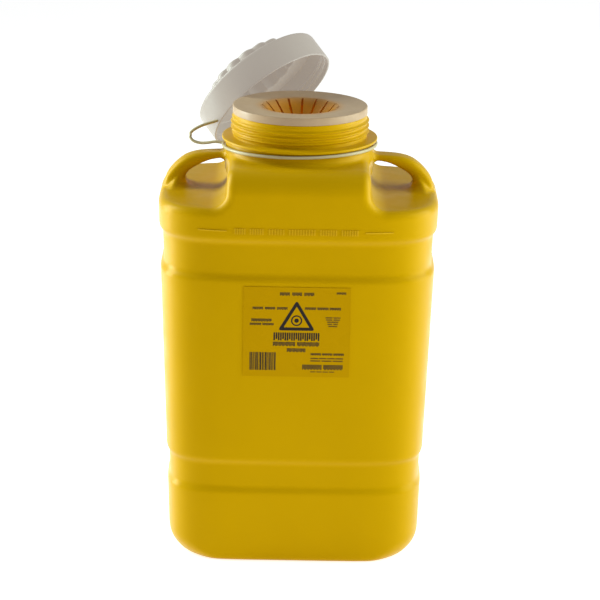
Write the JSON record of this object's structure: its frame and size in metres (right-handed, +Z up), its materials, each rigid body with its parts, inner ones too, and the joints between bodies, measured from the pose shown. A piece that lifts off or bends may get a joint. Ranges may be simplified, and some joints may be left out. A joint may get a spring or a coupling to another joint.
{
  "type": "sharps container",
  "caption": "Tall rounded-rectangle plastic tank with loop handles, threaded neck, fingered drop guard and a screw cap leaning on its tether.",
  "frame": {"origin": "middle of the flat base", "axes": "+Z up along the neck, the label faces -Y, +X to the right of someone who faces the label"},
  "size_m": [0.2784, 0.2761, 0.5066],
  "materials": {
    "yellow_polyethylene": "satin blow-moulded polyethylene",
    "natural_guard": "translucent natural polyethylene",
    "natural_cap": "translucent natural polyethylene",
    "natural_tether": "translucent natural polyethylene",
    "label_film": "thin printed film"
  },
  "bodies": {
    "tank": {"tank": "yellow_polyethylene", "guard_ring": "natural_guard", "front_label": "label_film"},
    "finger_01": {"guard_finger_01": "natural_guard"},
    "finger_02": {"guard_finger_02": "natural_guard"},
    "finger_03": {"guard_finger_03": "natural_guard"},
    "finger_04": {"guard_finger_04": "natural_guard"},
    "finger_05": {"guard_finger_05": "natural_guard"},
    "finger_06": {"guard_finger_06": "natural_guard"},
    "finger_07": {"guard_finger_07": "natural_guard"},
    "finger_08": {"guard_finger_08": "natural_guard"},
    "finger_09": {"guard_finger_09": "natural_guard"},
    "finger_10": {"guard_finger_10": "natural_guard"},
    "finger_11": {"guard_finger_11": "natural_guard"},
    "finger_12": {"guard_finger_12": "natural_guard"},
    "finger_13": {"guard_finger_13": "natural_guard"},
    "finger_14": {"guard_finger_14": "natural_guard"},
    "finger_15": {"guard_finger_15": "natural_guard"},
    "finger_16": {"guard_finger_16": "natural_guard"},
    "tether": {"tether_ring": "natural_tether"},
    "cap": {"screw_cap": "natural_cap", "tether_strap": "natural_tether"}
  },
  "joints": [
    {"name": "finger_01_bend", "type": "hinge", "parent": "tank", "child": "finger_01", "pos_m": [-0.00523, 0.03794, 0.4462], "axis": [0.9906, 0.1366, 0], "range_deg": [0, 35], "stiffness_Nm_per_rad": 0.02},
    {"name": "finger_02_bend", "type": "hinge", "parent": "tank", "child": "finger_02", "pos_m": [-0.01935, 0.03305, 0.4462], "axis": [0.863, 0.5053, 0], "range_deg": [0, 35], "stiffness_Nm_per_rad": 0.02},
    {"name": "finger_03_bend", "type": "hinge", "parent": "tank", "child": "finger_03", "pos_m": [-0.03053, 0.02313, 0.4462], "axis": [0.6039, 0.7971, 0], "range_deg": [0, 35], "stiffness_Nm_per_rad": 0.02},
    {"name": "finger_04_bend", "type": "hinge", "parent": "tank", "child": "finger_04", "pos_m": [-0.03705, 0.00969, 0.4462], "axis": [0.2529, 0.9675, 0], "range_deg": [0, 35], "stiffness_Nm_per_rad": 0.02},
    {"name": "finger_05_bend", "type": "hinge", "parent": "tank", "child": "finger_05", "pos_m": [-0.03794, -0.00523, 0.4462], "axis": [-0.1366, 0.9906, 0], "range_deg": [0, 35], "stiffness_Nm_per_rad": 0.02},
    {"name": "finger_06_bend", "type": "hinge", "parent": "tank", "child": "finger_06", "pos_m": [-0.03305, -0.01935, 0.4462], "axis": [-0.5053, 0.863, 0], "range_deg": [0, 35], "stiffness_Nm_per_rad": 0.02},
    {"name": "finger_07_bend", "type": "hinge", "parent": "tank", "child": "finger_07", "pos_m": [-0.02313, -0.03053, 0.4462], "axis": [-0.7971, 0.6039, 0], "range_deg": [0, 35], "stiffness_Nm_per_rad": 0.02},
    {"name": "finger_08_bend", "type": "hinge", "parent": "tank", "child": "finger_08", "pos_m": [-0.00969, -0.03705, 0.4462], "axis": [-0.9675, 0.2529, 0], "range_deg": [0, 35], "stiffness_Nm_per_rad": 0.02},
    {"name": "finger_09_bend", "type": "hinge", "parent": "tank", "child": "finger_09", "pos_m": [0.00523, -0.03794, 0.4462], "axis": [-0.9906, -0.1366, 0], "range_deg": [0, 35], "stiffness_Nm_per_rad": 0.02},
    {"name": "finger_10_bend", "type": "hinge", "parent": "tank", "child": "finger_10", "pos_m": [0.01935, -0.03305, 0.4462], "axis": [-0.863, -0.5053, 0], "range_deg": [0, 35], "stiffness_Nm_per_rad": 0.02},
    {"name": "finger_11_bend", "type": "hinge", "parent": "tank", "child": "finger_11", "pos_m": [0.03053, -0.02313, 0.4462], "axis": [-0.6039, -0.7971, 0], "range_deg": [0, 35], "stiffness_Nm_per_rad": 0.02},
    {"name": "finger_12_bend", "type": "hinge", "parent": "tank", "child": "finger_12", "pos_m": [0.03705, -0.00969, 0.4462], "axis": [-0.2529, -0.9675, 0], "range_deg": [0, 35], "stiffness_Nm_per_rad": 0.02},
    {"name": "finger_13_bend", "type": "hinge", "parent": "tank", "child": "finger_13", "pos_m": [0.03794, 0.00523, 0.4462], "axis": [0.1366, -0.9906, 0], "range_deg": [0, 35], "stiffness_Nm_per_rad": 0.02},
    {"name": "finger_14_bend", "type": "hinge", "parent": "tank", "child": "finger_14", "pos_m": [0.03305, 0.01935, 0.4462], "axis": [0.5053, -0.863, 0], "range_deg": [0, 35], "stiffness_Nm_per_rad": 0.02},
    {"name": "finger_15_bend", "type": "hinge", "parent": "tank", "child": "finger_15", "pos_m": [0.02313, 0.03053, 0.4462], "axis": [0.7971, -0.6039, 0], "range_deg": [0, 35], "stiffness_Nm_per_rad": 0.02},
    {"name": "finger_16_bend", "type": "hinge", "parent": "tank", "child": "finger_16", "pos_m": [0.00969, 0.03705, 0.4462], "axis": [0.9675, -0.2529, 0], "range_deg": [0, 35], "stiffness_Nm_per_rad": 0.02},
    {"name": "tether_swivel", "type": "hinge", "parent": "tank", "child": "tether", "pos_m": [0, 0, 0.4102], "axis": [0, 0, 1], "range_deg": [-100, 25]},
    {"name": "cap_lift", "type": "hinge", "parent": "tether", "child": "cap", "pos_m": [-0.11, 0.0165, 0.4113], "axis": [0, -1, 0], "range_deg": [0, 80]}
  ]
}
